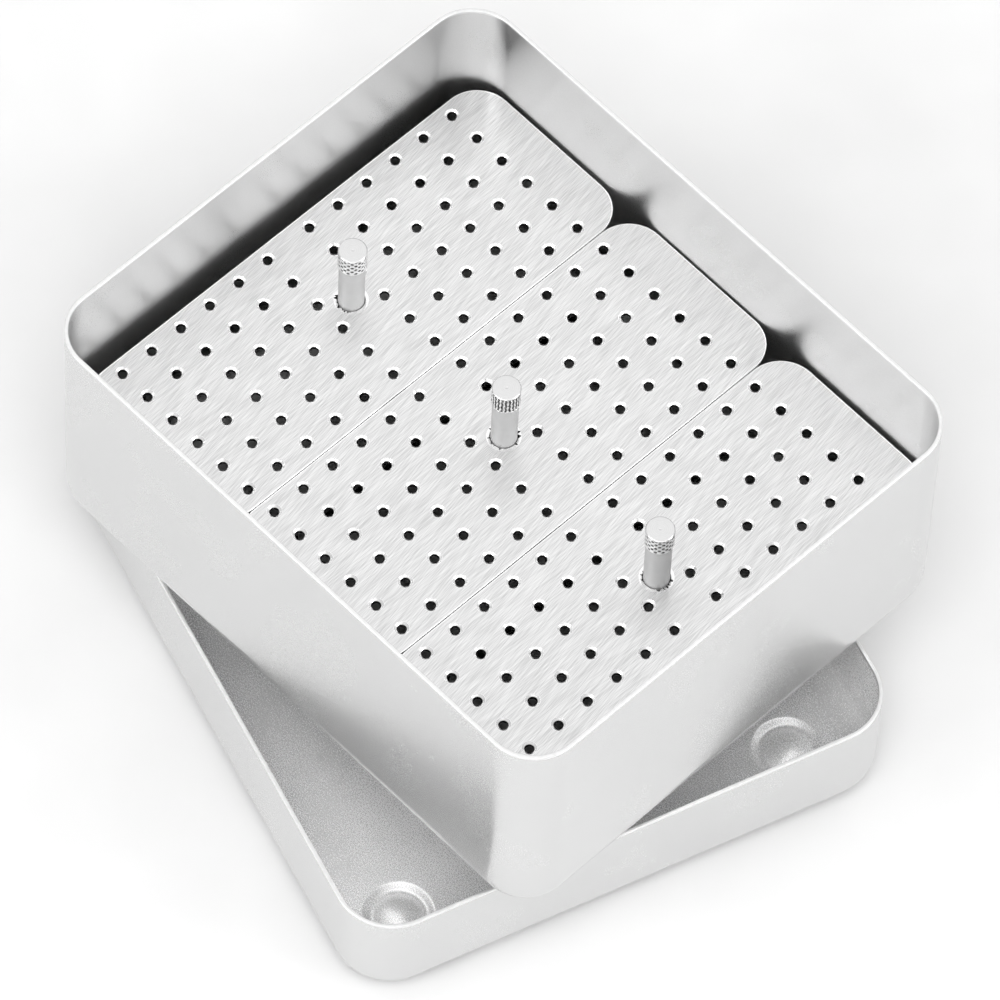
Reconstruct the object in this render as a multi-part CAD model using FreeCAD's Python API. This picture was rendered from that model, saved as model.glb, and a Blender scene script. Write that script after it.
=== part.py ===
# Aluminium instrument tray: a drawn box with three lift-out racks for small
# root-canal instruments, standing on its own upturned lid.
#
# Millimetres.  The origin is on the table under the middle of the lid, +Z up,
# +X across the three racks and +Y along them.  The lid is turned against the
# box, so the box stands diagonally on the lid's rim.

import FreeCAD, Part
import os

V = FreeCAD.Vector
UP = V(0, 0, 1)
NEAR = 1e-4                 # tolerance when edges are picked by their height

# ---- drawn sheet -----------------------------------------------------------
SHEET = 0.8                 # aluminium sheet of box and lid
RIM_BREAK = 0.15            # broken edge on both sides of a cut rim

# ---- box -------------------------------------------------------------------
BOX_LENGTH = 140.8          # along X
BOX_WIDTH = 119.2           # along Y
BOX_HEIGHT = 63.0
BOX_CORNER_R = 10.8
BOX_BOTTOM_R = 10.0

# ---- lid -------------------------------------------------------------------
LID_PLAY = 0.35             # gap all round when the lid is on the box
LID_DEPTH = 27.6
LID_BOTTOM_R = 7.2
LID_TURN = -17.0            # degrees about Z, lid against box
BOX_SHIFT_Y = 5.05          # middle of the box against the middle of the lid
REST_GAP = 0.05             # box bottom over lid rim

# ---- pressed feet in the lid's panel -----------------------------------------
FOOT_X = 55.1               # from the lid's middle, along its own sides
FOOT_Y = 44.3
FOOT_R = 7.3                # outer edge of the pressed ring
FOOT_DROP = 1.0             # ring stands this far out of the panel
FOOT_LAND_OUTER_R = 6.0     # flat land that meets the table
FOOT_LAND_INNER_R = 5.25
FOOT_DOME_RISE = 1.9        # dome inside the ring, from the land

# ---- racks -----------------------------------------------------------------
RACK_NAMES = ("left", "middle", "right")
RACK_PITCH = 44.4
RACK_SHIFT_X = -0.2         # the racks stand a little off the box's middle
RACK_SHIFT_Y = {"left": 1.8, "middle": 2.05, "right": 1.65}
RACK_WIDTH = 44.25          # along X
RACK_LENGTH = 112.8         # along Y
RACK_CORNER_R = 8.0
RACK_TOP = 36.7             # top of the perforated plate over the box's bottom
PLATE = 1.2                 # thickness of both rack plates
BASE_INSET = 3.6            # base plate inside the top plate's outline

# ---- instrument holes --------------------------------------------------------
HOLES_SHIFT_X = -0.55       # middle of the holes and the post, from the plate's middle
COLUMNS = 6
COLUMN_PITCH = 7.4
ROWS_PER_GROUP = 6
ROW_PITCH = 8.0
INNER_ROW = 5.8             # first row of each group, from the rack's middle
HOLE_R = 1.02
COUNTERSINK_R = 1.56
COUNTERSINK_DEPTH = 0.54

# ---- lifting post ------------------------------------------------------------
POST_HEIGHT = 18.6          # over the top plate
POST_SHANK_R = 2.72
POST_HEAD_R = 3.0
POST_HEAD_HEIGHT = 5.0
POST_HEAD_BREAK = 0.35
POST_DIMPLE_R = 0.45        # centre mark left by turning
POST_DIMPLE_TIP_R = 0.05
POST_DIMPLE_DEPTH = 0.25
POST_SPIGOT_R = 1.95        # M4 end through the base plate
SPIGOT_PLAY = 0.1           # between the spigot and the base plate's hole
POST_HOLE_R = 3.3           # clearance hole in the top plate
POST_HOLE_BREAK = 0.25
NUT_HEIGHT = 2.2            # thin M4 nut
NUT_ACROSS_FLATS = 7.0

# ---- legs and their screws -----------------------------------------------------
LEG_R = 2.5
LEG_X = 12.6                # from the rack's middle, on the flat of the box's bottom
LEG_Y = INNER_ROW + (ROWS_PER_GROUP - 1.5) * ROW_PITCH   # between the last two rows
LEG_NAMES = {
    "front_left": (-1, -1),
    "front_right": (1, -1),
    "rear_left": (-1, 1),
    "rear_right": (1, 1),
}
SCREW_SHANK_R = 1.2         # M2.5
SCREW_HOLE_R = 1.35         # in the base plate
THREAD_PLAY = 0.05          # between a thread and its hole, drawn as plain cylinders
SCREW_BITE = 7.0            # length of screw inside the leg
TAPPED_DEPTH = 7.5          # hole in the leg's foot
SCREW_HEAD_R = 2.35
SCREW_HEAD_HEIGHT = 2.6     # the rack stands on these heads
SCREW_HEAD_BREAK = 0.5
SOCKET_CORNER_R = 0.9       # hexagon socket in the head, middle to corner
SOCKET_DEPTH = 1.3

# ---- levels worked out from the above --------------------------------------------
LID_RIM_Z = FOOT_DROP + LID_DEPTH
BOX_Z = LID_RIM_Z + REST_GAP
BASE_Z = BOX_Z + SHEET + SCREW_HEAD_HEIGHT
LEG_Z = BASE_Z + PLATE
TOP_PLATE_Z = BOX_Z + RACK_TOP - PLATE
LEG_LENGTH = TOP_PLATE_Z - LEG_Z


def cylinder(radius, height, at):
    """Upright cylinder standing on the point `at`."""
    return Part.makeCylinder(radius, height, at, UP)


def cone(low_radius, high_radius, height, at):
    """Upright cone standing on the point `at`."""
    return Part.makeCone(low_radius, high_radius, height, at, UP)


def rounded_block(length, width, height, corner_r, bottom_r=0.0):
    """Block on Z = 0, centred on the origin, with rounded upright corners and
    optionally a rounded bottom edge."""
    block = Part.makeBox(length, width, height, V(-length / 2, -width / 2, 0))
    upright = [e for e in block.Edges if e.BoundBox.ZLength > height / 2]
    block = block.makeFillet(corner_r, upright)
    if bottom_r:
        lower = [e for e in block.Edges if e.BoundBox.ZMax < NEAR]
        block = block.makeFillet(bottom_r, lower)
    return block


def drawn_shell(length, width, height, corner_r, bottom_r):
    """Open-topped shell of one sheet thickness, with its rim edges broken."""
    outer = rounded_block(length, width, height, corner_r, bottom_r)
    inner = rounded_block(
        length - 2 * SHEET,
        width - 2 * SHEET,
        height,
        corner_r - SHEET,
        bottom_r - SHEET,
    )
    inner.translate(V(0, 0, SHEET))
    shell = outer.cut(inner)
    rim = [e for e in shell.Edges if e.BoundBox.ZMin > height - NEAR]
    return shell.makeFillet(RIM_BREAK, rim)


def foot_section_edges(rise):
    """Section of the pressed foot's lower face at height `rise`, from the
    panel in to the dome's crown."""
    panel = V(FOOT_R, 0, FOOT_DROP + rise)
    land_outer = V(FOOT_LAND_OUTER_R, 0, rise)
    land_inner = V(FOOT_LAND_INNER_R, 0, rise)
    crown = V(0, 0, FOOT_DOME_RISE + rise)
    dome_r = (FOOT_LAND_INNER_R**2 + FOOT_DOME_RISE**2) / (2 * FOOT_DOME_RISE)
    half = FOOT_LAND_INNER_R / 2
    drop = dome_r - (dome_r**2 - half**2) ** 0.5
    on_dome = V(half, 0, FOOT_DOME_RISE + rise - drop)
    return [
        Part.makeLine(panel, land_outer),
        Part.makeLine(land_outer, land_inner),
        Part.Arc(land_inner, on_dome, crown).toShape(),
    ]


def pressed_foot():
    """One foot as a disc of the sheet: ring out, dome back in."""
    lower = foot_section_edges(0.0)
    upper = foot_section_edges(SHEET)
    outside = Part.makeLine(V(FOOT_R, 0, FOOT_DROP), V(FOOT_R, 0, FOOT_DROP + SHEET))
    axis = Part.makeLine(V(0, 0, FOOT_DOME_RISE), V(0, 0, FOOT_DOME_RISE + SHEET))
    section = Part.Wire(Part.__sortEdges__(lower + upper + [outside, axis]))
    return Part.Face(section).revolve(V(0, 0, 0), UP, 360)


def make_lid():
    """Drawn lid lying on its panel, with four pressed feet."""
    lid = drawn_shell(
        BOX_LENGTH + 2 * (LID_PLAY + SHEET),
        BOX_WIDTH + 2 * (LID_PLAY + SHEET),
        LID_DEPTH,
        BOX_CORNER_R + LID_PLAY + SHEET,
        LID_BOTTOM_R,
    )
    lid.translate(V(0, 0, FOOT_DROP))
    foot = pressed_foot()
    for x in (-FOOT_X, FOOT_X):
        for y in (-FOOT_Y, FOOT_Y):
            lid = lid.cut(cylinder(FOOT_R, 3 * SHEET, V(x, y, FOOT_DROP - SHEET)))
            lid = lid.fuse(foot.translated(V(x, y, 0)))
    lid.rotate(V(0, 0, 0), UP, LID_TURN)
    return lid


def make_box():
    """Drawn box on the lid's rim."""
    box = drawn_shell(BOX_LENGTH, BOX_WIDTH, BOX_HEIGHT, BOX_CORNER_R, BOX_BOTTOM_R)
    box.translate(V(0, BOX_SHIFT_Y, BOX_Z))
    return box


def hole_centres():
    """Places of the instrument holes in one rack, from the rack's middle."""
    for column in range(COLUMNS):
        x = HOLES_SHIFT_X + (column - (COLUMNS - 1) / 2) * COLUMN_PITCH
        for row in range(ROWS_PER_GROUP):
            y = INNER_ROW + row * ROW_PITCH
            yield x, y
            yield x, -y


def make_top_plate():
    """Perforated plate, standing on Z = 0, with countersunk instrument holes."""
    plate = rounded_block(RACK_WIDTH, RACK_LENGTH, PLATE, RACK_CORNER_R)
    sink_z = PLATE - COUNTERSINK_DEPTH
    drill = cylinder(HOLE_R, 3 * PLATE, V(0, 0, -PLATE))
    sink = cone(HOLE_R, COUNTERSINK_R, COUNTERSINK_DEPTH, V(0, 0, sink_z))
    tool = drill.fuse(sink)
    tools = [tool.translated(V(x, y, 0)) for x, y in hole_centres()]
    break_z = PLATE - POST_HOLE_BREAK
    wide_r = POST_HOLE_R + POST_HOLE_BREAK
    post_hole = cylinder(POST_HOLE_R, 3 * PLATE, V(HOLES_SHIFT_X, 0, -PLATE))
    post_break = cone(POST_HOLE_R, wide_r, POST_HOLE_BREAK, V(HOLES_SHIFT_X, 0, break_z))
    tools.append(post_hole.fuse(post_break))
    return plate.cut(Part.makeCompound(tools))


def make_base_plate():
    """Plain lower plate with the post's hole and four screw holes."""
    plate = rounded_block(
        RACK_WIDTH - 2 * BASE_INSET,
        RACK_LENGTH - 2 * BASE_INSET,
        PLATE,
        RACK_CORNER_R - BASE_INSET / 2,
    )
    plate = plate.cut(cylinder(POST_SPIGOT_R + SPIGOT_PLAY, PLATE, V(HOLES_SHIFT_X, 0, 0)))
    for sx, sy in LEG_NAMES.values():
        plate = plate.cut(cylinder(SCREW_HOLE_R, PLATE, V(sx * LEG_X, sy * LEG_Y, 0)))
    return plate


def make_leg():
    """Round pillar with a tapped hole in its foot."""
    leg = cylinder(LEG_R, LEG_LENGTH, V(0, 0, 0))
    return leg.cut(cylinder(SCREW_SHANK_R + THREAD_PLAY, TAPPED_DEPTH, V(0, 0, 0)))


def make_screw():
    """Button screw, head down, its head's upper face on Z = 0."""
    head = cylinder(SCREW_HEAD_R, SCREW_HEAD_HEIGHT, V(0, 0, -SCREW_HEAD_HEIGHT))
    low = [e for e in head.Edges if e.BoundBox.ZMax < -SCREW_HEAD_HEIGHT / 2]
    head = head.makeFillet(SCREW_HEAD_BREAK, low)
    shank = cylinder(SCREW_SHANK_R, PLATE + SCREW_BITE, V(0, 0, 0))
    corners = Part.makePolygon(hexagon(SOCKET_CORNER_R, -SCREW_HEAD_HEIGHT))
    socket = Part.Face(corners).extrude(V(0, 0, SOCKET_DEPTH))
    return head.fuse(shank).cut(socket)


def hexagon(corner_r, z):
    """Closed ring of hexagon corners at height z."""
    arm = V(corner_r, 0, z)
    ring = []
    for turn in range(7):
        place = FreeCAD.Placement(V(0, 0, 0), FreeCAD.Rotation(UP, 60 * turn))
        ring.append(place.multVec(arm))
    return ring


def make_nut():
    """Thin hexagon nut under the base plate, its top on Z = 0."""
    corners = Part.makePolygon(hexagon(NUT_ACROSS_FLATS / 3**0.5, -NUT_HEIGHT))
    nut = Part.Face(corners).extrude(V(0, 0, NUT_HEIGHT))
    return nut.cut(cylinder(POST_SPIGOT_R + THREAD_PLAY, NUT_HEIGHT, V(0, 0, -NUT_HEIGHT)))


def make_post():
    """Turned lifting post, its shoulder on Z = 0: spigot down, head up."""
    shank_length = LEG_LENGTH + PLATE + POST_HEIGHT - POST_HEAD_HEIGHT
    spigot = cylinder(POST_SPIGOT_R, PLATE + NUT_HEIGHT, V(0, 0, -PLATE - NUT_HEIGHT))
    shank = cylinder(POST_SHANK_R, shank_length, V(0, 0, 0))
    head = cylinder(POST_HEAD_R, POST_HEAD_HEIGHT, V(0, 0, shank_length))
    top_z = shank_length + POST_HEAD_HEIGHT
    crown = [e for e in head.Edges if e.BoundBox.ZMin > top_z - NEAR]
    head = head.makeChamfer(POST_HEAD_BREAK, crown)
    dimple_at = V(0, 0, top_z - POST_DIMPLE_DEPTH)
    dimple = cone(POST_DIMPLE_TIP_R, POST_DIMPLE_R, POST_DIMPLE_DEPTH, dimple_at)
    return spigot.fuse(shank).fuse(head).cut(dimple).removeSplitter()


def rack_pieces():
    """Every piece of one rack, placed about the rack's middle at its level."""
    pieces = {
        "top_plate": make_top_plate().translated(V(0, 0, TOP_PLATE_Z)),
        "base_plate": make_base_plate().translated(V(0, 0, BASE_Z)),
        "lifting_post": make_post().translated(V(HOLES_SHIFT_X, 0, LEG_Z)),
        "post_nut": make_nut().translated(V(HOLES_SHIFT_X, 0, BASE_Z)),
    }
    leg = make_leg()
    screw = make_screw()
    screws = []
    for name, (sx, sy) in LEG_NAMES.items():
        pieces[name + "_leg"] = leg.translated(V(sx * LEG_X, sy * LEG_Y, LEG_Z))
        screws.append(screw.translated(V(sx * LEG_X, sy * LEG_Y, BASE_Z)))
    pieces["leg_screws"] = Part.makeCompound(screws)
    return pieces


def all_pieces():
    """Node name to shape, for the whole tray."""
    nodes = {"lid": make_lid(), "box": make_box()}
    pieces = rack_pieces()
    for index, side in enumerate(RACK_NAMES):
        x = RACK_SHIFT_X + (index - 1) * RACK_PITCH
        place = V(x, BOX_SHIFT_Y + RACK_SHIFT_Y[side], 0)
        for name, shape in pieces.items():
            nodes[side + "_rack_" + name] = shape.translated(place)
    return nodes


def main():
    os.makedirs("parts", exist_ok=True)
    for name, shape in all_pieces().items():
        shape.exportStep("parts/" + name + ".step")
        print(name, len(shape.Solids), round(shape.Volume, 1), shape.isValid())


main()
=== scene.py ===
import math
import random

import bpy
from mathutils import Matrix, Vector
from mathutils.geometry import delaunay_2d_cdt


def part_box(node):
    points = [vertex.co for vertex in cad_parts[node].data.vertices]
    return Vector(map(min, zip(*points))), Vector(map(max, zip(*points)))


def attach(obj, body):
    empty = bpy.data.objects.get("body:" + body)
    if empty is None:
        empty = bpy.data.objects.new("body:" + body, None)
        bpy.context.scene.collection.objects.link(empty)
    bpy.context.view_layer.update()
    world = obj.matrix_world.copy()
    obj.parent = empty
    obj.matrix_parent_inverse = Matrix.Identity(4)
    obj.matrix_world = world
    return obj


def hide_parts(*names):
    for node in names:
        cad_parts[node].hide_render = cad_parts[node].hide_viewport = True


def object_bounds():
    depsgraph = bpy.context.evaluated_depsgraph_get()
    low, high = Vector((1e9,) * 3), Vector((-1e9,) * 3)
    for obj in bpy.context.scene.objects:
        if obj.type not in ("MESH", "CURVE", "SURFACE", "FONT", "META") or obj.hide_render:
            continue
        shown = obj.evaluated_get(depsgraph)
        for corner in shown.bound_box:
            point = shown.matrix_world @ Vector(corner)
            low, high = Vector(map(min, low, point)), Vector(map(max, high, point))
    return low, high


# Looks of the aluminium instrument tray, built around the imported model.
#
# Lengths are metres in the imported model's frame: the origin is on the table
# under the lid's middle, +Z is up, +X runs across the three racks and +Y along
# them.  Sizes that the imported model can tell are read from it.

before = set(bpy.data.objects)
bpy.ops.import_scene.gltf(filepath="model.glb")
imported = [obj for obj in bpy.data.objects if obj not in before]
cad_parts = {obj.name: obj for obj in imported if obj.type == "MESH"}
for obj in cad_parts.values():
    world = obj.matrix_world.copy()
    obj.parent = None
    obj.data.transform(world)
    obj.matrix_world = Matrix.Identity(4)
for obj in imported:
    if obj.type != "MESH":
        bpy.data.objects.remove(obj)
cad_low, cad_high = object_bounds()

MM = 0.001

# ---- drawn sheet ---------------------------------------------------------------
SHEET = 0.8 * MM
RIM_BREAK = 0.2 * MM
BOX_CORNER_R = 10.8 * MM
BOX_BOTTOM_R = 10.0 * MM
LID_PLAY = 0.35 * MM           # gap all round when the lid is on the box
LID_CORNER_R = BOX_CORNER_R + LID_PLAY + SHEET
LID_BOTTOM_R = 7.2 * MM
LID_TURN = math.radians(-17.0)
LID_PANEL_Z = 1.0 * MM         # underside of the lid's panel over the table
LEAST_CORNER_R = 0.3 * MM
LID_INSET = 0.02 * MM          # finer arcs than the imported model's, kept inside its box

# ---- pressed feet, from the foot's own axis ----------------------------------------
FOOT_X = 55.1 * MM
FOOT_Y = 44.3 * MM
FOOT_R = 7.3 * MM
FOOT_LAND_OUTER_R = 6.0 * MM
FOOT_LAND_INNER_R = 5.25 * MM
FOOT_DOME_RISE = 1.9 * MM
FOOT_BLEND = 0.4 * MM          # how far each bend of the pressing reaches

# ---- racks -----------------------------------------------------------------------
SIDES = ("left", "middle", "right")
RACK_CORNER_R = 8.0 * MM
COLUMNS = 6
COLUMN_PITCH = 7.4 * MM
ROWS_PER_GROUP = 6
ROW_PITCH = 8.0 * MM
INNER_ROW = 5.8 * MM
HOLE_R = 1.02 * MM
COUNTERSINK_R = 1.5 * MM
COUNTERSINK_STEP = 0.05 * MM   # upright lip where the countersink starts
COUNTERSINK_DEPTH = 0.33 * MM
HOLE_BREAK = 0.05 * MM
PLATE_BREAK = 0.14 * MM

# ---- worn holes round the posts ------------------------------------------------------
POST_HOLE_R = 2.84 * MM        # how far the plate closes round the post
SWELL_WIDTH = 0.75 * MM        # raised strip of the plate round the hole
LIP = (                        # (widening, height over the plate) from the strip in
    (0.12 * MM, 0.05 * MM),
    (0.05 * MM, 0.02 * MM),
    (0.0, -0.08 * MM),
)
CHIPS = 15                     # torn out of each hole's edge
CHIP_DEPTHS = (0.12 * MM, 0.62 * MM)
CHIP_WIDTHS = (0.03, 0.09)     # radians, half width

# ---- lifting posts -----------------------------------------------------------------
SHANK_R = 2.72 * MM
HEAD_R = 3.0 * MM
HEAD_HEIGHT = 5.0 * MM
HEAD_BREAK = 0.22 * MM
SPIGOT_R = 1.95 * MM
SPIGOT_LENGTH = 3.4 * MM
SPIGOT_CHAMFER = 0.3 * MM
SHANK_BREAK = 0.2 * MM
COLLAR_WIDTH = 0.08 * MM       # by which the shank widens under the head
COLLAR_HEIGHT = 0.25 * MM
KNURL_FOOT = 0.12 * MM         # plain strip under the knurl
KNURL_DEPTH = 0.22 * MM
KNURL_SHARPNESS = 1.3          # over 1 flattens the bottoms of the grooves
FLUTES = 24                    # of the straight knurl
FLUTE_WIDTH = 0.75             # share of the pitch
SLIP = 0.3                     # by which a flute narrows and widens
SLIP_CLIMB = 4200.0            # radians per metre up the head
SLIP_WAVES = 7                 # round the head
SLIP_SWING = 5.0               # radians
DIAMONDS = 12                  # pits round the crossed knurl
DIAMOND_HEIGHT = 1.38 * MM
DIAMOND_WIDTH = 0.85           # share of the pitch
END_EASE = 0.1 * MM
CENTRE_MARK = (                # (radius, depth) in the middle of the head's end
    (0.32 * MM, 0.0),
    (0.25 * MM, 0.04 * MM),
    (0.06 * MM, 0.12 * MM),
)

# ---- fineness of the meshes ----------------------------------------------------------
EASE_LIMIT = 0.45              # most of a section's straight run that a curve takes up
CORNER_STEPS = 20
BEND_STEPS = 14
HOLE_STEPS = 32
FOOT_STEPS = 96
DOME_STEPS = 14
TURN_STEPS = 208
KNURL_ROWS = 56
POST_HOLE_STEPS = 240

# ---- places of the finishes in a piece's list of materials ---------------------------
FACE = 0
EDGE = 1                       # and a post's knurl
BORE = 2                       # and a post's faced end
INSIDE = 2                     # of a drawn shell

# ---- brushing of the plates, as angles off the racks' long sides ---------------------
BRUSH_HEADING = math.radians(11.5)
CROSS_HEADING = BRUSH_HEADING - 0.24
SCRATCH_HEADING = BRUSH_HEADING + 0.07

# ---- camera and lights ---------------------------------------------------------------
CAMERA_AZIMUTH = math.radians(43.445)     # round the object from -Y towards +X
CAMERA_ELEVATION = math.radians(58.758)
CAMERA_ROLL = math.radians(3.258)
CAMERA_DISTANCE = 2096.45 * MM
CAMERA_AIM = Vector((7.55, -1.73, 14.8)) * MM   # from the middle of the object's box
CAMERA_LENS = 376.29
SOFTBOX_DISTANCE = 2.4         # from the middle of the table
SKY_LOW = 0.25                 # height, as a sine, up to which the sky stays dim
SKY_HIGH = 0.7                 # and from which it is at its brightest
TABLE_REACH = 6.0              # half the side of the table


class Shape:
    """Points and faces of one piece, collected ring by ring."""

    def __init__(self):
        self.points = []
        self.faces = []
        self.finishes = []
        self.pits = {}

    def ring(self, points):
        """Adds the points and returns their numbers."""
        first = len(self.points)
        self.points.extend(points)
        return list(range(first, len(self.points)))

    def face(self, corners, finish):
        """Adds one face, its corners anticlockwise seen from outside."""
        self.faces.append(corners)
        self.finishes.append(finish)

    def band(self, first, second, finish):
        """Quads from one closed ring to the next."""
        for here in range(len(first)):
            after = (here + 1) % len(first)
            corners = (first[here], first[after], second[after], second[here])
            self.face(corners, finish)

    def loft(self, rings, finish):
        """Bands through all the rings."""
        for first, second in zip(rings, rings[1:]):
            self.band(first, second, finish)

    def disc(self, ring, finish, up=True):
        """Closes a ring with one flat face."""
        self.face(tuple(ring) if up else tuple(reversed(ring)), finish)

    def cap(self, outline, holes, finish, up=True):
        """Flat face between an outline and the holes in it."""
        rings = [outline] + holes
        numbers = [number for ring in rings for number in ring]
        ring_of = {number: place for place, ring in enumerate(rings) for number in ring}
        place_of = {number: place for place, number in enumerate(numbers)}
        flat = [Vector(self.points[number][:2]) for number in numbers]
        edges = []
        for ring in rings:
            for here in range(len(ring)):
                after = ring[(here + 1) % len(ring)]
                edges.append((place_of[ring[here]], place_of[after]))
        _, _, triangles, origins, _, _ = delaunay_2d_cdt(flat, edges, [], 0, 1e-7)
        for triangle in triangles:
            corners = [numbers[origins[corner][0]] for corner in triangle]
            touched = {ring_of[corner] for corner in corners}
            in_a_hole = len(touched) == 1 and 0 not in touched
            if in_a_hole:
                continue
            self.face(tuple(corners) if up else tuple(reversed(corners)), finish)

    def build(self, name, materials, place=Matrix.Identity(4)):
        """The shape as a Blender object with smooth, area-weighted shading."""
        mesh = bpy.data.meshes.new(name)
        mesh.from_pydata([place @ Vector(point) for point in self.points], [], self.faces)
        mesh.polygons.foreach_set("material_index", self.finishes)
        mesh.polygons.foreach_set("use_smooth", [True] * len(self.faces))
        if self.pits:
            layer = mesh.attributes.new("pit", "FLOAT", "POINT")
            depths = [self.pits.get(number, 0.0) for number in range(len(self.points))]
            layer.data.foreach_set("value", depths)
        for material in materials:
            mesh.materials.append(material)
        mesh.update()
        mesh.set_sharp_from_angle(angle=math.radians(50))
        piece = bpy.data.objects.new(name, mesh)
        bpy.context.scene.collection.objects.link(piece)
        shading = piece.modifiers.new("even_shading", "WEIGHTED_NORMAL")
        shading.keep_sharp = True
        return piece


def rounded_ring(half_x, half_y, corner, z):
    """Points round a rounded rectangle, anticlockwise seen from above."""
    corner = max(corner, LEAST_CORNER_R)
    points = []
    for quarter in range(4):
        side_x = 1 if quarter in (0, 3) else -1
        side_y = 1 if quarter in (0, 1) else -1
        middle_x = side_x * (half_x - corner)
        middle_y = side_y * (half_y - corner)
        for step in range(CORNER_STEPS + 1):
            turn = (quarter + step / CORNER_STEPS) * math.pi / 2
            x = middle_x + corner * math.cos(turn)
            y = middle_y + corner * math.sin(turn)
            points.append((x, y, z))
    return points


def round_ring(radius, z, steps, x=0.0, y=0.0):
    """Points round a circle, anticlockwise seen from above.  The radius may be
    a function of the angle."""
    points = []
    for step in range(steps):
        turn = 2 * math.pi * step / steps
        reach = radius(turn) if callable(radius) else radius
        points.append((x + reach * math.cos(turn), y + reach * math.sin(turn), z))
    return points


def eased(section, reach, steps=5):
    """The section with each inner corner replaced by a short curve."""
    smooth = [section[0]]
    for before, corner, after in zip(section, section[1:], section[2:]):
        corner = Vector(corner)
        into = Vector(before) - corner
        out = Vector(after) - corner
        start = corner + into.normalized() * min(reach, into.length * EASE_LIMIT)
        end = corner + out.normalized() * min(reach, out.length * EASE_LIMIT)
        for step in range(steps + 1):
            t = step / steps
            point = (1 - t) ** 2 * start + 2 * t * (1 - t) * corner + t**2 * end
            smooth.append(tuple(point))
    smooth.append(section[-1])
    return smooth


# ---- drawn box and lid ----------------------------------------------------------------


def shell_section(height, bottom_r):
    """Section of a drawn shell as (inset, z, finish): up the outside, over the
    rim and down the inside."""
    section = []
    for step in range(BEND_STEPS + 1):
        turn = math.pi / 2 * step / BEND_STEPS
        inset = bottom_r * (1 - math.sin(turn))
        section.append((inset, bottom_r * (1 - math.cos(turn)), FACE))
    rim_foot = height - RIM_BREAK * 3
    rim = [(0, rim_foot), (0, height), (SHEET, height), (SHEET, rim_foot)]
    section += [(inset, z, EDGE) for inset, z in eased(rim, RIM_BREAK, 3)]
    inner_r = bottom_r - SHEET
    for step in range(BEND_STEPS + 1):
        turn = math.pi / 2 * step / BEND_STEPS
        inset = bottom_r - inner_r * math.cos(turn)
        section.append((inset, bottom_r - inner_r * math.sin(turn), INSIDE))
    return section


def draw_shell(shape, half_x, half_y, base_z, height, corner, bottom_r):
    """Adds a shell's walls and returns its lowest and its last, inner ring."""
    rings = []
    section = shell_section(height, bottom_r)
    for inset, z, finish in section:
        points = rounded_ring(half_x - inset, half_y - inset, corner - inset, base_z + z)
        rings.append(shape.ring(points))
    for place in range(len(rings) - 1):
        start = section[place][2]
        end = section[place + 1][2]
        shape.band(rings[place], rings[place + 1], start if end == EDGE else end)
    return rings[0], rings[-1]


def make_box(materials):
    """The drawn box, open at the top."""
    low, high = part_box("box")
    half = (high - low) / 2
    middle = (high + low) / 2
    shape = Shape()
    height = high.z - low.z
    under, floor = draw_shell(shape, half.x, half.y, low.z, height, BOX_CORNER_R, BOX_BOTTOM_R)
    shape.cap(under, [], FACE, up=False)
    shape.cap(floor, [], INSIDE)
    place = Matrix.Translation((middle.x, middle.y, 0))
    return shape.build("drawn_box", materials, place)


def foot_section():
    """Lower side of a pressed foot as (radius, z), from the panel in to the
    dome's crown."""
    bends = [
        (FOOT_R + 1.5 * FOOT_BLEND, LID_PANEL_Z),
        (FOOT_R, LID_PANEL_Z),
        (FOOT_LAND_OUTER_R, 0.0),
        (FOOT_LAND_INNER_R, 0.0),
    ]
    for step in range(1, DOME_STEPS):
        share = step / DOME_STEPS
        z = FOOT_DOME_RISE * (1 - (1 - share) ** 2)
        bends.append((FOOT_LAND_INNER_R * (1 - share), z))
    return eased(bends, FOOT_BLEND)


def press_foot(shape, x, y):
    """Adds a foot and returns the rings where it leaves the panel, below and
    above."""
    section = foot_section()
    lower = [shape.ring(round_ring(r, z, FOOT_STEPS, x, y)) for r, z in reversed(section)]
    upper = [shape.ring(round_ring(r, z + SHEET, FOOT_STEPS, x, y)) for r, z in section]
    shape.loft(lower, FACE)
    shape.loft(upper, INSIDE)
    shape.disc(lower[0], FACE, up=False)
    shape.disc(upper[-1], INSIDE)
    return lower[-1], upper[0]


def lid_half_sizes():
    """Half length and half width of the lid along its own sides."""
    across = Vector((math.cos(LID_TURN), math.sin(LID_TURN)))
    along = Vector((-math.sin(LID_TURN), math.cos(LID_TURN)))
    points = [vertex.co.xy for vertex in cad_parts["lid"].data.vertices]
    half_x = max(point.dot(across) for point in points)
    half_y = max(point.dot(along) for point in points)
    return half_x - LID_INSET, half_y - LID_INSET


def make_lid(materials):
    """The upturned lid with its four pressed feet."""
    half_x, half_y = lid_half_sizes()
    rim_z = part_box("lid")[1].z
    height = rim_z - LID_PANEL_Z
    shape = Shape()
    under, floor = draw_shell(shape, half_x, half_y, LID_PANEL_Z, height, LID_CORNER_R, LID_BOTTOM_R)
    lower_holes = []
    upper_holes = []
    for x in (-FOOT_X, FOOT_X):
        for y in (-FOOT_Y, FOOT_Y):
            lower, upper = press_foot(shape, x, y)
            lower_holes.append(lower)
            upper_holes.append(upper)
    shape.cap(under, lower_holes, FACE, up=False)
    shape.cap(floor, upper_holes, INSIDE)
    return shape.build("drawn_lid", materials, Matrix.Rotation(LID_TURN, 4, "Z"))


# ---- rack plates ------------------------------------------------------------------------


def hole_places(shift):
    """Middles of the instrument holes, from the plate's middle."""
    for column in range(COLUMNS):
        x = shift + (column - (COLUMNS - 1) / 2) * COLUMN_PITCH
        for row in range(ROWS_PER_GROUP):
            y = INNER_ROW + row * ROW_PITCH
            yield x, y
            yield x, -y


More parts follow.
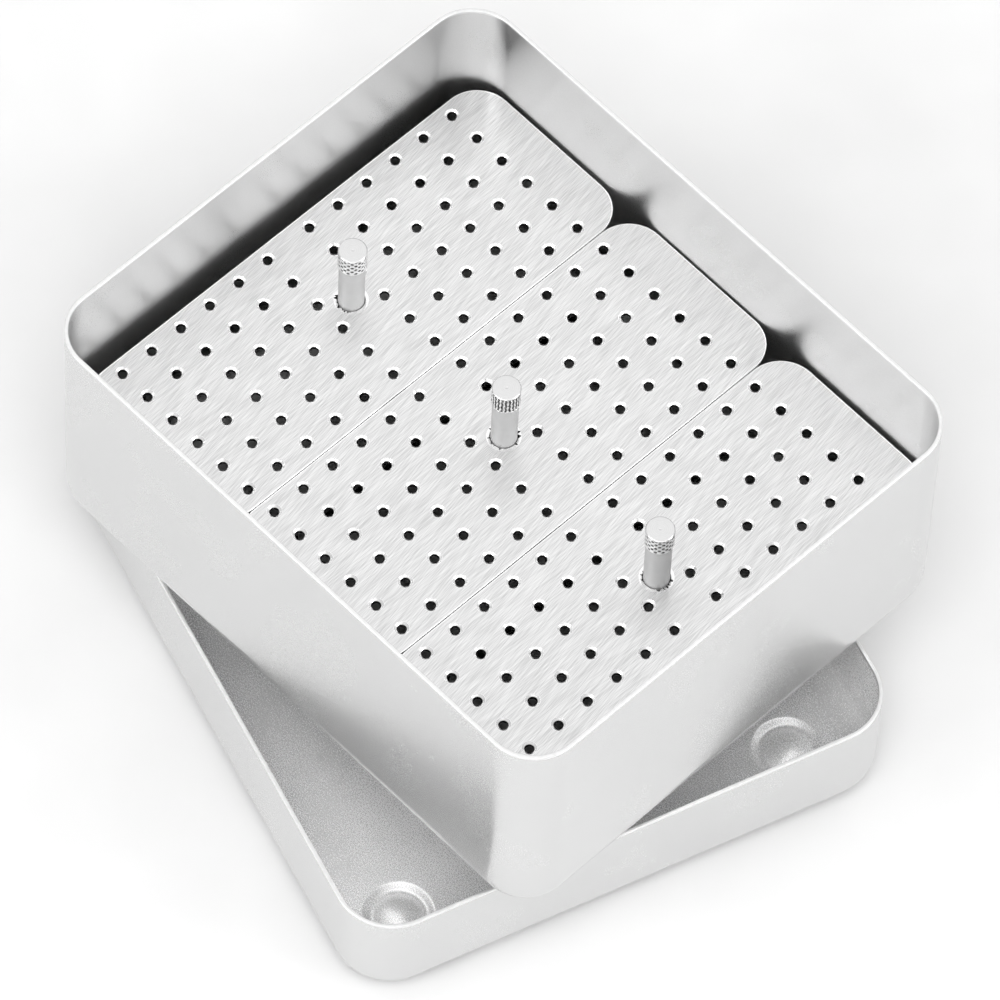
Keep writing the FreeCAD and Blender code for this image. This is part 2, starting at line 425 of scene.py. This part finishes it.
def hole_section(thickness):
    """Section of a countersunk hole as (radius, z) from the top face down."""
    bends = [
        (COUNTERSINK_R + 2 * HOLE_BREAK, thickness),
        (COUNTERSINK_R, thickness),
        (COUNTERSINK_R, thickness - COUNTERSINK_STEP),
        (HOLE_R, thickness - COUNTERSINK_DEPTH),
        (HOLE_R, HOLE_BREAK * 2),
        (HOLE_R + HOLE_BREAK, 0.0),
    ]
    return eased(bends, HOLE_BREAK, 2)


def drill(shape, x, y, thickness):
    """Adds an instrument hole and returns its rings in the top and under face."""
    section = hole_section(thickness)
    rings = [shape.ring(round_ring(r, z, HOLE_STEPS, x, y)) for r, z in section]
    for place in range(len(rings) - 1):
        sunk = section[place + 1][1] > thickness - COUNTERSINK_DEPTH - HOLE_BREAK
        shape.band(rings[place], rings[place + 1], EDGE if sunk else BORE)
    return rings[0], rings[-1]


def torn_edge(seed):
    """Reach of the hole round the post at each angle: nearly closed, with chips
    torn out while the post was fitted."""
    draw = random.Random(seed)
    chips = []
    for _ in range(CHIPS):
        middle = draw.uniform(0, 2 * math.pi)
        chips.append((middle, draw.uniform(*CHIP_DEPTHS), draw.uniform(*CHIP_WIDTHS)))

    def reach(turn):
        torn = 0.0
        for middle, depth, width in chips:
            away = abs((turn - middle + math.pi) % (2 * math.pi) - math.pi)
            torn = max(torn, depth * math.exp(-((away / width) ** 4)))
        return POST_HOLE_R + torn

    return reach


def open_post_hole(shape, x, thickness, seed):
    """Adds the ragged hole round the post and returns its upper and lower ring."""
    reach = torn_edge(seed)
    swell_r = POST_HOLE_R + SWELL_WIDTH
    rings = [shape.ring(round_ring(swell_r, thickness, POST_HOLE_STEPS, x))]
    for widening, rise in LIP + ((0.0, -thickness),):
        points = round_ring(lambda turn: reach(turn) + widening, thickness + rise, POST_HOLE_STEPS, x)
        rings.append(shape.ring(points))
    worn = 3
    shape.loft(rings[:worn], EDGE)
    shape.loft(rings[worn - 1:], BORE)
    return rings[0], rings[-1]


def plate_edge(shape, half_x, half_y, thickness, corner):
    """Adds a plate's broken edge and returns its lower and upper ring."""
    start = PLATE_BREAK * 2
    bends = [(start, 0.0), (0.0, 0.0), (0.0, thickness), (start, thickness)]
    rings = []
    for inset, z in eased(bends, PLATE_BREAK, 4):
        rings.append(shape.ring(rounded_ring(half_x - inset, half_y - inset, corner - inset, z)))
    shape.loft(rings, EDGE)
    return rings[0], rings[-1]


def make_top_plate(side, materials, seed):
    """A rack's perforated plate, its holes in line with the post."""
    low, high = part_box(side + "_rack_top_plate")
    half = (high - low) / 2
    middle = (high + low) / 2
    thickness = high.z - low.z
    post_low, post_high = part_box(side + "_rack_lifting_post")
    shift = (post_low.x + post_high.x) / 2 - middle.x
    shape = Shape()
    under, top = plate_edge(shape, half.x, half.y, thickness, RACK_CORNER_R)
    upper_holes = []
    lower_holes = []
    for x, y in hole_places(shift):
        upper, lower = drill(shape, x, y, thickness)
        upper_holes.append(upper)
        lower_holes.append(lower)
    upper, lower = open_post_hole(shape, shift, thickness, seed)
    shape.cap(top, upper_holes + [upper], FACE)
    # The underside, like the bores, takes the finish painted nearly black as shade.
    shape.cap(under, lower_holes + [lower], BORE, up=False)
    place = Matrix.Translation((middle.x, middle.y, low.z))
    return shape.build(side + "_perforated_plate", materials, place)


# ---- lifting posts ------------------------------------------------------------------------


def groove(phase, width):
    """Depth share of a V groove, 1 in its bottom, that repeats every 2 pi."""
    away = abs((phase + math.pi) % (2 * math.pi) - math.pi) / math.pi
    return max(0.0, 1 - away / width)


def fluted(turn, z):
    """Straight knurl, its grooves broken where the wheel slipped."""
    slip = SLIP * math.sin(SLIP_CLIMB * z + SLIP_SWING * math.sin(SLIP_WAVES * turn))
    return groove(FLUTES * turn, FLUTE_WIDTH + slip)


def crossed(turn, z):
    """Pits between two crossing sets of helical ridges."""
    climb = 2 * math.pi * z / DIAMOND_HEIGHT
    rising = groove(DIAMONDS * turn + climb, DIAMOND_WIDTH)
    falling = groove(DIAMONDS * turn - climb, DIAMOND_WIDTH)
    return rising * falling


def knurled_ring(shape, z, share, knurl):
    """Adds one ring of the knurled head; share fades the grooves out."""
    points = []
    depths = []
    for step in range(TURN_STEPS):
        turn = 2 * math.pi * step / TURN_STEPS
        depth = share * min(1.0, KNURL_SHARPNESS * knurl(turn, z))
        reach = HEAD_R - KNURL_DEPTH * depth
        points.append((reach * math.cos(turn), reach * math.sin(turn), z))
        depths.append(depth)
    ring = shape.ring(points)
    shape.pits.update(zip(ring, depths))
    return ring


def shank_rings(shape, head_z):
    """Adds the rings of the spigot and the shank, up to the head."""
    section = [
        (SPIGOT_R - SPIGOT_CHAMFER, 0.0),
        (SPIGOT_R, SPIGOT_CHAMFER),
        (SPIGOT_R, SPIGOT_LENGTH),
        (SHANK_R - SHANK_BREAK, SPIGOT_LENGTH),
        (SHANK_R, SPIGOT_LENGTH + SHANK_BREAK),
        (SHANK_R, head_z - COLLAR_HEIGHT),
        (SHANK_R + COLLAR_WIDTH, head_z),
    ]
    return [shape.ring(round_ring(r, z, TURN_STEPS)) for r, z in section]


def knurl_rings(shape, low_z, high_z, knurl):
    """Adds the rings of the knurl, which fades out over two rows at each end."""
    rings = []
    for row in range(KNURL_ROWS + 1):
        z = low_z + (high_z - low_z) * row / KNURL_ROWS
        share = min(1.0, row / 2, (KNURL_ROWS - row) / 2)
        rings.append(knurled_ring(shape, z, share, knurl))
    return rings


def crown_rings(shape, top):
    """Adds the rings of the faced end, in to its centre mark."""
    section = [(HEAD_R, top - HEAD_BREAK), (HEAD_R - HEAD_BREAK, top)]
    section += [(radius, top - depth) for radius, depth in CENTRE_MARK]
    section = eased(section, END_EASE, 3)
    return [shape.ring(round_ring(r, z, TURN_STEPS)) for r, z in section[1:]]


def make_post(side, materials, knurl):
    """A lifting post.  Its origin is on its axis, which its finishes turn about."""
    low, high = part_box(side + "_rack_lifting_post")
    middle = (high + low) / 2
    top = high.z - low.z
    head_z = top - HEAD_HEIGHT
    shape = Shape()
    shank = shank_rings(shape, head_z)
    shape.disc(shank[0], FACE, up=False)
    shape.loft(shank, FACE)
    head = shank[-1:] + knurl_rings(shape, head_z + KNURL_FOOT, top - HEAD_BREAK, knurl)
    shape.loft(head, EDGE)
    crown = head[-1:] + crown_rings(shape, top)
    shape.loft(crown, BORE)
    shape.disc(crown[-1], BORE)
    piece = shape.build(side + "_turned_post", materials)
    piece.location = (middle.x, middle.y, low.z)
    return piece


# ---- materials ------------------------------------------------------------------------------


class Finish:
    """A metal whose colour, roughness and relief come from noise."""

    def __init__(self, name, colour, roughness, metallic=1.0):
        self.material = bpy.data.materials.new(name)
        self.material.use_nodes = True
        self.tree = self.material.node_tree
        self.shader = self.tree.nodes["Principled BSDF"]
        self.shader.inputs["Metallic"].default_value = metallic
        self.shader.inputs["Base Color"].default_value = (*colour, 1.0)
        self.shader.inputs["Roughness"].default_value = roughness
        self.place = self.node("ShaderNodeTexCoord").outputs["Object"]
        self.normal = None

    def node(self, kind, **settings):
        """Adds a node with those settings."""
        made = self.tree.nodes.new(kind)
        for key, value in settings.items():
            setattr(made, key, value)
        return made

    def link(self, source, socket):
        """Joins an output to an input."""
        self.tree.links.new(source, socket)

    def stretched(self, scale, heading=0.0):
        """Object coordinates turned about Z by heading, then scaled."""
        turned = self.node("ShaderNodeMapping", vector_type="TEXTURE")
        turned.inputs["Rotation"].default_value = (0.0, 0.0, heading)
        self.link(self.place, turned.inputs["Vector"])
        scaled = self.node("ShaderNodeMapping")
        scaled.inputs["Scale"].default_value = scale
        self.link(turned.outputs["Vector"], scaled.inputs["Vector"])
        return scaled.outputs["Vector"]

    def noise(self, scale, detail=2.0, heading=0.0, low=0.35, high=0.65):
        """Noise whose cell is 1/scale metres along each axis, with low..high of
        its values stretched to 0..1."""
        made = self.node("ShaderNodeTexNoise")
        made.inputs["Scale"].default_value = 1.0
        made.inputs["Detail"].default_value = detail
        self.link(self.stretched(scale, heading), made.inputs["Vector"])
        return self.spread(made.outputs["Fac"], low, high, 0.0, 1.0)

    def spread(self, value, low, high, to_low, to_high):
        """The value with low..high stretched to to_low..to_high and clamped."""
        ranged = self.node("ShaderNodeMapRange", clamp=True)
        ranged.inputs["From Min"].default_value = low
        ranged.inputs["From Max"].default_value = high
        ranged.inputs["To Min"].default_value = to_low
        ranged.inputs["To Max"].default_value = to_high
        self.link(value, ranged.inputs["Value"])
        return ranged.outputs["Result"]

    def sum(self, first, second, share):
        """first x (1 - share) + second x share."""
        mixed = self.node("ShaderNodeMix", data_type="FLOAT")
        mixed.inputs["Factor"].default_value = share
        self.link(first, mixed.inputs["A"])
        self.link(second, mixed.inputs["B"])
        return mixed.outputs["Result"]

    def product(self, first, second):
        """first x second."""
        times = self.node("ShaderNodeMath", operation="MULTIPLY")
        self.link(first, times.inputs[0])
        self.link(second, times.inputs[1])
        return times.outputs["Value"]

    def paint(self, value, first, last):
        """Base colour from first at 0 to last at 1."""
        mixed = self.node("ShaderNodeMix", data_type="RGBA")
        mixed.inputs["A"].default_value = (*first, 1.0)
        mixed.inputs["B"].default_value = (*last, 1.0)
        self.link(value, mixed.inputs["Factor"])
        self.link(mixed.outputs["Result"], self.shader.inputs["Base Color"])

    def rough(self, value, first, last):
        """Roughness from first at 0 to last at 1."""
        self.link(self.spread(value, 0.0, 1.0, first, last), self.shader.inputs["Roughness"])

    def relief(self, value, height):
        """Adds a bump of that height in metres to the ones before it."""
        bump = self.node("ShaderNodeBump")
        bump.inputs["Strength"].default_value = 1.0
        bump.inputs["Distance"].default_value = height
        self.link(value, bump.inputs["Height"])
        if self.normal:
            self.link(self.normal, bump.inputs["Normal"])
        self.normal = bump.outputs["Normal"]
        self.link(self.normal, self.shader.inputs["Normal"])


def grey(value):
    """Neutral colour of that linear brightness."""
    return (value, value, value)


def satin_sheet(name, metallic, shade, smooth, dull, grain_height):
    """Etched and anodised sheet: an even satin with a fine sandy grain."""
    finish = Finish(name, grey(shade), smooth, metallic)
    grain = finish.noise((4500, 4500, 4500), 2.0)
    clouds = finish.noise((60, 60, 45), 2.0)
    tone = finish.sum(grain, clouds, 0.3)
    finish.paint(tone, grey(shade - 0.025), grey(shade + 0.025))
    finish.rough(tone, smooth, dull)
    finish.relief(grain, grain_height)
    return finish.material


def cut_edge():
    """Trimmed sheet edge, bright and finely lined."""
    finish = Finish("cut_edge", grey(0.84), 0.4)
    lines = finish.noise((900, 900, 9000), 2.0)
    finish.paint(lines, grey(0.81), grey(0.87))
    finish.rough(lines, 0.36, 0.44)
    finish.relief(lines, 0.0008 * MM)
    return finish.material


def brushed_plate():
    """Brushed sheet with long fine lines and a few deeper scratches."""
    finish = Finish("brushed_plate", grey(0.8), 0.4)
    fine = finish.noise((7500, 170, 500), 1.0, BRUSH_HEADING)
    cross = finish.noise((6000, 150, 500), 1.0, CROSS_HEADING)
    scratch = finish.noise((2100, 110, 300), 0.0, SCRATCH_HEADING, low=0.70, high=0.78)
    lines = finish.sum(fine, cross, 0.45)
    finish.paint(lines, grey(0.60), grey(0.88))
    finish.rough(lines, 0.43, 0.37)
    finish.relief(lines, 0.0015 * MM)
    finish.relief(scratch, -0.006 * MM)
    return finish.material


def burnished_edge():
    """Tumbled plate edges and countersinks, brighter than the face."""
    finish = Finish("burnished_edge", grey(0.95), 0.2)
    marks = finish.noise((2500, 2500, 4000), 2.0)
    finish.paint(marks, grey(0.90), grey(0.98))
    finish.rough(marks, 0.14, 0.26)
    finish.relief(marks, 0.002 * MM)
    return finish.material


def bore_and_underside_shade():
    """Drilled walls and the plates' undersides, painted nearly black as shade, with fine rings."""
    finish = Finish("bore_and_underside_shade", grey(0.12), 0.45)
    rings = finish.noise((300, 300, 9000), 1.0)
    finish.paint(rings, grey(0.08), grey(0.16))
    finish.rough(rings, 0.38, 0.52)
    finish.relief(rings, 0.005 * MM)
    return finish.material


def shaded_base_plate():
    """Dull sheet for the hidden lower plates, painted darker as shade under the perforated plates."""
    finish = Finish("shaded_base_plate", grey(0.58), 0.6)
    rolled = finish.noise((900, 40, 300), 2.0)
    blotches = finish.noise((220, 220, 220), 3.0)
    tone = finish.sum(rolled, blotches, 0.5)
    finish.paint(tone, grey(0.5), grey(0.66))
    finish.rough(tone, 0.52, 0.7)
    finish.relief(rolled, 0.005 * MM)
    return finish.material


def turned_shank():
    """Turned bar, with faint rings left by the tool."""
    finish = Finish("turned_shank", grey(0.56), 0.55, metallic=0.6)
    rings = finish.noise((60, 60, 7000), 2.0)
    clouds = finish.noise((600, 600, 400), 3.0)
    tone = finish.sum(rings, clouds, 0.5)
    finish.paint(tone, grey(0.53), grey(0.59))
    finish.rough(tone, 0.5, 0.6)
    finish.relief(rings, 0.002 * MM)
    return finish.material


def knurled_head():
    """Knurl with dull pits, painted dark as shade by their depth, and rubbed crests."""
    finish = Finish("knurled_head", grey(0.85), 0.3)
    pit = finish.node("ShaderNodeAttribute", attribute_name="pit").outputs["Fac"]
    marks = finish.noise((1800, 1800, 1800), 3.0)
    # Pit depth darkens the colour almost to black, which is painted shade in the grooves; it also
    # dulls them.
    pit_shade_mask = finish.spread(pit, 0.12, 0.5, to_low=0.0, to_high=1.0)
    tone = finish.sum(pit_shade_mask, finish.product(pit_shade_mask, marks), 0.35)
    finish.paint(tone, grey(0.90), grey(0.03))
    finish.rough(tone, 0.28, 0.7)
    finish.relief(marks, 0.006 * MM)
    return finish.material


def faced_end():
    """Faced end of a post with fine rings round its centre mark."""
    finish = Finish("faced_end", grey(0.74), 0.35)
    rings = finish.node("ShaderNodeTexWave", wave_type="RINGS", rings_direction="Z")
    rings.inputs["Scale"].default_value = 1.0
    rings.inputs["Distortion"].default_value = 0.6
    finish.link(finish.stretched((800, 800, 800)), rings.inputs["Vector"])
    marks = finish.noise((1500, 1500, 1500), 2.0)
    tone = finish.sum(rings.outputs["Fac"], marks, 0.4)
    finish.paint(tone, grey(0.70), grey(0.77))
    finish.rough(tone, 0.32, 0.42)
    finish.relief(rings.outputs["Fac"], 0.002 * MM)
    return finish.material


def bar_stock():
    """Drawn aluminium bar for the legs, with lines along it."""
    finish = Finish("bar_stock", grey(0.6), 0.4)
    lines = finish.noise((3500, 3500, 60), 2.0)
    finish.paint(lines, grey(0.52), grey(0.68))
    finish.rough(lines, 0.34, 0.48)
    finish.relief(lines, 0.004 * MM)
    return finish.material


def steel_fastener():
    """Stainless screws and nuts, a little darker and warmer than aluminium."""
    finish = Finish("steel_fastener", (0.58, 0.57, 0.55), 0.3)
    marks = finish.noise((1800, 1800, 2600), 3.0)
    finish.paint(marks, (0.52, 0.51, 0.49), (0.64, 0.63, 0.61))
    finish.rough(marks, 0.24, 0.4)
    finish.relief(marks, 0.006 * MM)
    return finish.material


# ---- CAD nodes that keep their shape ---------------------------------------------------------


def dress_node(name, material, break_width):
    """Gives a CAD node its material and small broken edges."""
    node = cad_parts[name]
    for place in range(len(node.material_slots)):
        node.material_slots[place].material = material
    if not node.material_slots:
        node.data.materials.append(material)
    weld = node.modifiers.new("weld", "WELD")
    weld.merge_threshold = 0.001 * MM
    edge = node.modifiers.new("broken_edge", "BEVEL")
    edge.width = break_width
    edge.segments = 2
    edge.limit_method = "ANGLE"
    edge.angle_limit = math.radians(40)
    edge.use_clamp_overlap = True
    edge.harden_normals = True


# ---- stage -------------------------------------------------------------------------------------


def make_floor():
    """Wide pale table under the object."""
    mesh = bpy.data.meshes.new("table_top")
    sides = ((-1, -1), (1, -1), (1, 1), (-1, 1))
    corners = [(x * TABLE_REACH, y * TABLE_REACH, 0) for x, y in sides]
    mesh.from_pydata(corners, [], [(0, 1, 2, 3)])
    floor = bpy.data.objects.new("table_top", mesh)
    bpy.context.scene.collection.objects.link(floor)
    finish = Finish("pale_table", grey(0.55), 0.6, metallic=0.0)
    mottle = finish.noise((30, 30, 30), 2.0)
    finish.paint(mottle, grey(0.54), grey(0.56))
    mesh.materials.append(finish.material)


def make_sky(low_light, high_light):
    """White surroundings, dimmer towards the horizon."""
    world = bpy.data.worlds.new("studio")
    world.use_nodes = True
    tree = world.node_tree
    background = tree.nodes["Background"]
    where = tree.nodes.new("ShaderNodeTexCoord")
    parts = tree.nodes.new("ShaderNodeSeparateXYZ")
    light = tree.nodes.new("ShaderNodeMapRange")
    light.interpolation_type = "SMOOTHSTEP"
    light.inputs["From Min"].default_value = SKY_LOW
    light.inputs["From Max"].default_value = SKY_HIGH
    light.inputs["To Min"].default_value = low_light
    light.inputs["To Max"].default_value = high_light
    tree.links.new(where.outputs["Generated"], parts.inputs["Vector"])
    tree.links.new(parts.outputs["Z"], light.inputs["Value"])
    tree.links.new(light.outputs["Result"], background.inputs["Strength"])
    background.inputs["Color"].default_value = (1, 1, 1, 1)
    bpy.context.scene.world = world


def make_softbox(name, turn, elevation, size, power, mirrored=True):
    """Round softbox aimed at the object.  Turn is measured round from the
    camera's side, elevation from the table.  One that isn't mirrored lights
    dull surfaces and leaves no highlight in the metal."""
    azimuth = CAMERA_AZIMUTH + math.radians(turn)
    rise = math.radians(elevation)
    flat = math.cos(rise)
    towards = Vector((flat * math.sin(azimuth), -flat * math.cos(azimuth), math.sin(rise)))
    place = towards * SOFTBOX_DISTANCE
    light = bpy.data.lights.new(name, "AREA")
    light.shape = "DISK"
    light.size = size
    light.energy = power
    lamp = bpy.data.objects.new(name, light)
    bpy.context.scene.collection.objects.link(lamp)
    lamp.visible_glossy = mirrored
    lamp.location = place
    lamp.rotation_mode = "QUATERNION"
    lamp.rotation_quaternion = (-place).to_track_quat("-Z", "Y")


def make_camera():
    """Long lens, high over the corner between the front and the right side."""
    data = bpy.data.cameras.new("camera")
    data.sensor_width = 36.0
    data.lens = CAMERA_LENS
    data.clip_start = 0.1
    data.clip_end = 20.0
    camera = bpy.data.objects.new("camera", data)
    bpy.context.scene.collection.objects.link(camera)
    flat = math.cos(CAMERA_ELEVATION)
    back = Vector((
        math.sin(CAMERA_AZIMUTH) * flat,
        -math.cos(CAMERA_AZIMUTH) * flat,
        math.sin(CAMERA_ELEVATION),
    ))
    level = Vector((math.cos(CAMERA_AZIMUTH), math.sin(CAMERA_AZIMUTH), 0.0))
    above = back.cross(level)
    right = level * math.cos(CAMERA_ROLL) + above * math.sin(CAMERA_ROLL)
    up = back.cross(right)
    aim = (cad_low + cad_high) / 2 + CAMERA_AIM
    turn = Matrix((right, up, back)).transposed().to_4x4()
    camera.matrix_world = Matrix.Translation(aim + back * CAMERA_DISTANCE) @ turn
    bpy.context.scene.camera = camera


# ---- assembly -------------------------------------------------------------------------------------


def stand_in(piece, body, node):
    """The piece rides on a body and stands for a node, which it hides."""
    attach(piece, body)
    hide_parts(node)


def dress_rack(side, seed, knurl, metals):
    """One rack: its detailed plate and post, and finishes for the rest of it."""
    body = side + "_rack"
    plate = make_top_plate(side, [metals["brushed"], metals["edge"], metals["bore"]], seed)
    stand_in(plate, body, body + "_top_plate")
    post = make_post(side, [metals["shank"], metals["knurl"], metals["end"]], knurl)
    stand_in(post, body, body + "_lifting_post")
    # Base plates take the sheet painted darker as shade.
    dress_node(body + "_base_plate", metals["dim_base"], break_width=0.15 * MM)
    dress_node(body + "_post_nut", metals["steel"], break_width=0.2 * MM)
    dress_node(body + "_leg_screws", metals["steel"], break_width=0.1 * MM)
    for leg in ("front_left", "front_right", "rear_left", "rear_right"):
        dress_node(body + "_" + leg + "_leg", metals["bar"], break_width=0.12 * MM)


def make_metals():
    """Every finish, by a short name."""
    return {
        "satin": satin_sheet(
            "satin_anodised_sheet",
            metallic=0.85, shade=0.65, smooth=0.22, dull=0.28, grain_height=0.004 * MM,
        ),
        "inner": satin_sheet(
            "inner_anodised_sheet",
            metallic=1.0, shade=0.73, smooth=0.27, dull=0.33, grain_height=0.01 * MM,
        ),
        # The lid's inside is a much lighter, less metallic copy of the same sheet: painted light that
        # stands in for light on the lid's floor.
        "lit_lid": satin_sheet(
            "lit_lid_sheet",
            metallic=0.5, shade=0.95, smooth=0.24, dull=0.3, grain_height=0.01 * MM,
        ),
        "rim": cut_edge(),
        "brushed": brushed_plate(),
        "edge": burnished_edge(),
        # Bores and plate undersides: painted nearly black as shade.
        "bore": bore_and_underside_shade(),
        # Lower plates: painted darker as shade.
        "dim_base": shaded_base_plate(),
        "shank": turned_shank(),
        "knurl": knurled_head(),
        "end": faced_end(),
        "bar": bar_stock(),
        "steel": steel_fastener(),
    }


def make_object():
    """The lid, the box and the three racks."""
    metals = make_metals()
    box = make_box([metals["satin"], metals["rim"], metals["inner"]])
    lid = make_lid([metals["satin"], metals["rim"], metals["lit_lid"]])
    stand_in(box, "box", "box")
    stand_in(lid, "lid", "lid")
    for seed, (side, knurl) in enumerate(zip(SIDES, (crossed, fluted, crossed))):
        dress_rack(side, seed, knurl, metals)


def make_lights():
    """White surroundings and four softboxes round the camera's side."""
    make_sky(low_light=0.7, high_light=1.12)
    make_softbox("left_softbox", turn=-54, elevation=35, size=1.2, power=18.0)
    make_softbox("right_softbox", turn=72, elevation=27, size=1.4, power=18.0)
    make_softbox("low_front_softbox", turn=0, elevation=31, size=1.2, power=6.0)
    make_softbox("high_front_softbox", turn=0, elevation=62, size=1.4, power=40.0, mirrored=False)


bpy.context.scene.view_settings.view_transform = "Standard"
make_object()
make_floor()
make_lights()
make_camera()
